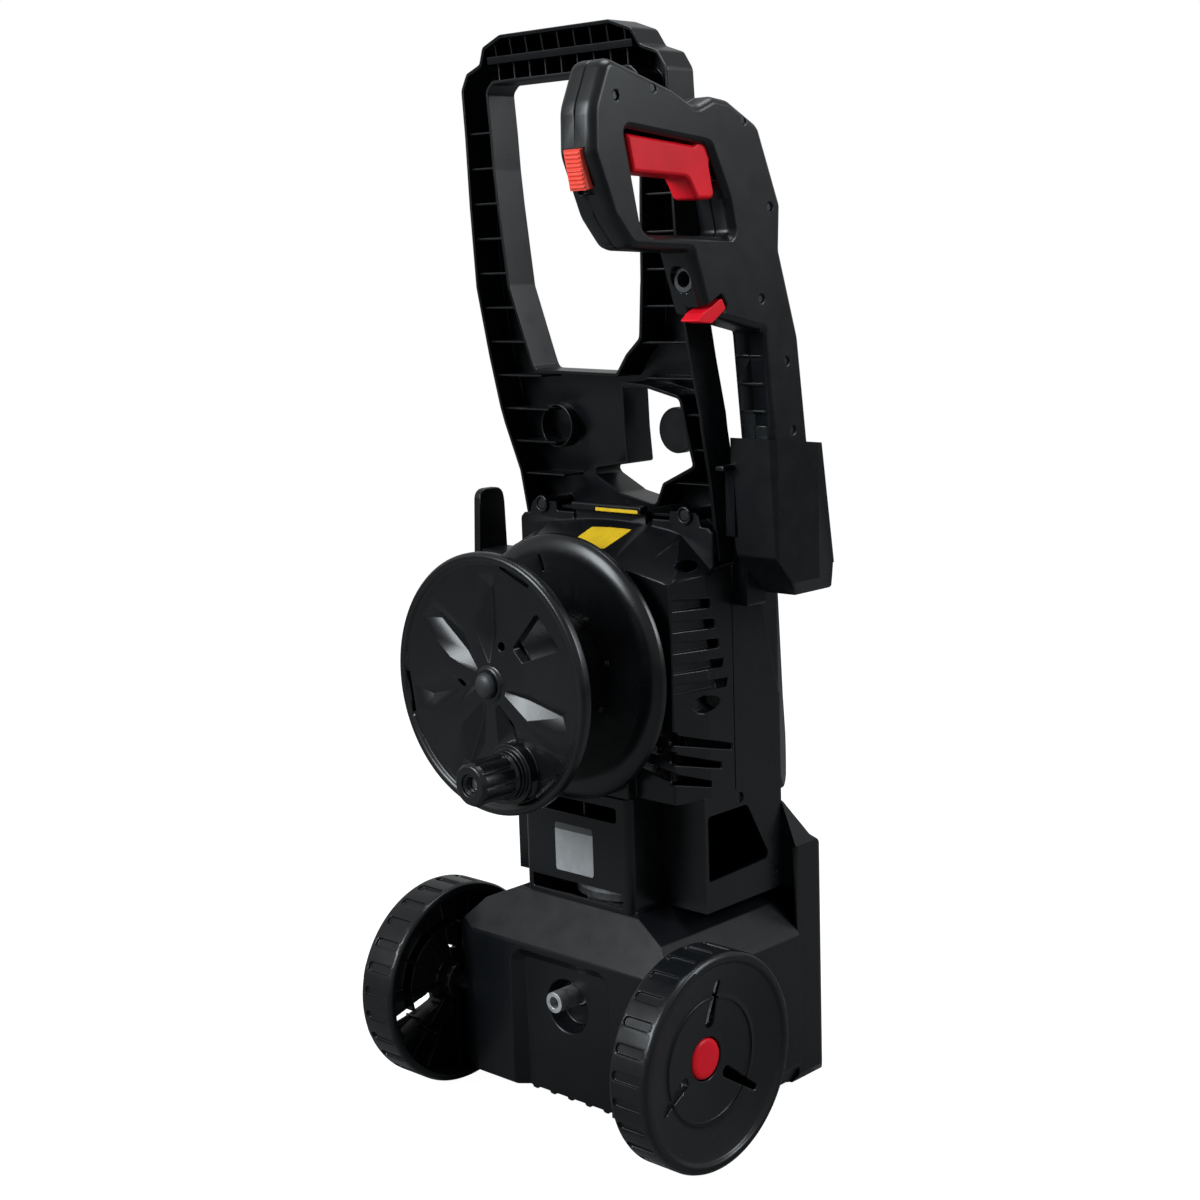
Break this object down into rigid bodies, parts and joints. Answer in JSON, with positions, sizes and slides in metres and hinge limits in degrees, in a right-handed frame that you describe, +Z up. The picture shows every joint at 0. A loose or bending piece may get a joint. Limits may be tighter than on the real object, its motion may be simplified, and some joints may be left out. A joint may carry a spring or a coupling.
{
  "type": "pressure washer",
  "caption": "Upright electric pressure washer on two wheels, with a hose reel and crank behind, a tall open handle, and a trigger gun held in a side holster.",
  "frame": {"origin": "on the floor, under the centre of the whole machine's bounding box", "axes": "+Z up, +X to the side that carries the holster and the gun, +Y towards the smooth front covers, so the reel and the wheels are on the -Y side"},
  "size_m": [0.336, 0.334, 0.907],
  "materials": {
    "body_plastic": "satin",
    "reel_plastic": "satin",
    "dark_plastic": "satin",
    "wheel_plastic": "satin",
    "gun_plastic": "satin",
    "red_plastic": "gloss",
    "safety_plastic": "gloss",
    "foot_rubber": "matte",
    "cast_zinc": "satin",
    "steel": "satin",
    "cast_aluminium": "satin",
    "winding_copper": "satin",
    "valve_brass": "satin"
  },
  "bodies": {
    "frame": {"rear_shell": "body_plastic", "motor_hood": "body_plastic", "front_shell": "body_plastic", "front_cover_upper": "body_plastic", "front_cover_lower": "body_plastic", "handle_frame": "body_plastic", "holster_cup": "body_plastic", "cord_hook": "body_plastic", "reel_spindle": "dark_plastic", "spindle_cap": "dark_plastic", "water_inlet": "dark_plastic", "switch_box": "dark_plastic", "wheel_pin_left": "red_plastic", "wheel_pin_right": "red_plastic", "front_feet": "foot_rubber", "outlet_tube": "cast_zinc", "swash_housing": "cast_zinc", "motor_bearings": "cast_zinc", "capacitor": "cast_zinc", "handle_screws": "steel", "shell_screws": "steel", "motor_can": "steel", "pump_block": "cast_aluminium", "pump_head": "cast_aluminium", "motor_stator": "winding_copper"},
    "gun": {"gun_shell_left": "gun_plastic", "gun_shell_right": "gun_plastic", "trigger_pin": "steel", "trigger_spring": "steel", "hose_port": "dark_plastic", "gun_valve": "valve_brass", "lance_tube": "steel", "lance_nozzle": "dark_plastic", "gun_screws": "steel"},
    "reel": {"reel_rear_disc": "reel_plastic", "reel_drum": "reel_plastic", "reel_front_disc": "reel_plastic", "crank_pin": "steel"},
    "rotor": {"motor_shaft": "steel", "motor_rotor": "winding_copper", "motor_fan": "dark_plastic", "swash_plate": "steel"},
    "wheel_left": {"wheel_left": "wheel_plastic"},
    "wheel_right": {"wheel_right": "wheel_plastic"},
    "crank": {"crank_knob": "reel_plastic"},
    "piston_1": {"piston_1": "steel"},
    "piston_2": {"piston_2": "steel"},
    "piston_3": {"piston_3": "steel"},
    "switch": {"switch_knob": "red_plastic"},
    "trigger": {"gun_trigger": "red_plastic"},
    "safety": {"gun_safety": "safety_plastic"},
    "release": {"gun_release": "red_plastic"}
  },
  "joints": [
    {"name": "wheel_left_spin", "type": "hinge", "parent": "frame", "child": "wheel_left", "pos_m": [-0.148, -0.038, 0.09], "axis": [1, 0, 0], "continuous": true},
    {"name": "wheel_right_spin", "type": "hinge", "parent": "frame", "child": "wheel_right", "pos_m": [0.148, -0.038, 0.09], "axis": [1, 0, 0], "continuous": true},
    {"name": "reel_spin", "type": "hinge", "parent": "frame", "child": "reel", "pos_m": [0, -0.07, 0.391], "axis": [0, 1, 0], "continuous": true},
    {"name": "crank_knob_spin", "type": "hinge", "parent": "reel", "child": "crank", "pos_m": [0.02735, -0.148, 0.32332], "axis": [0, 1, 0], "continuous": true},
    {"name": "motor_spin", "type": "hinge", "parent": "frame", "child": "rotor", "pos_m": [0, 0.046, 0.326], "axis": [0, 0, 1], "continuous": true},
    {"name": "piston_1_stroke", "type": "slide", "parent": "frame", "child": "piston_1", "axis": [0, 0, -1], "range_m": [0, 0.005], "stiffness_N_per_m": 400, "springref_m": -0.005},
    {"name": "piston_2_stroke", "type": "slide", "parent": "frame", "child": "piston_2", "axis": [0, 0, -1], "range_m": [0, 0.005], "stiffness_N_per_m": 400, "springref_m": -0.005},
    {"name": "piston_3_stroke", "type": "slide", "parent": "frame", "child": "piston_3", "axis": [0, 0, -1], "range_m": [0, 0.005], "stiffness_N_per_m": 400, "springref_m": -0.005},
    {"name": "switch_turn", "type": "hinge", "parent": "frame", "child": "switch", "pos_m": [0, 0.145, 0.4003], "axis": [0, 1, 0], "range_deg": [0, 90]},
    {"name": "gun_lift", "type": "slide", "parent": "frame", "child": "gun", "axis": [0, -0.1193, 0.9929], "range_m": [0, 0.15]},
    {"name": "trigger_pull", "type": "hinge", "parent": "gun", "child": "trigger", "pos_m": [0.1435, -0.013, 0.815], "axis": [-1, 0, 0], "range_deg": [0, 10], "stiffness_Nm_per_rad": 1.5, "springref_deg": -9.74},
    {"name": "safety_slide", "type": "slide", "parent": "gun", "child": "safety", "axis": [0, 0.2079, -0.9781], "range_m": [0, 0.0045]},
    {"name": "release_push", "type": "slide", "parent": "gun", "child": "release", "axis": [0, 0, 1], "range_m": [0, 0.003], "stiffness_N_per_m": 200, "springref_m": -0.004}
  ]
}
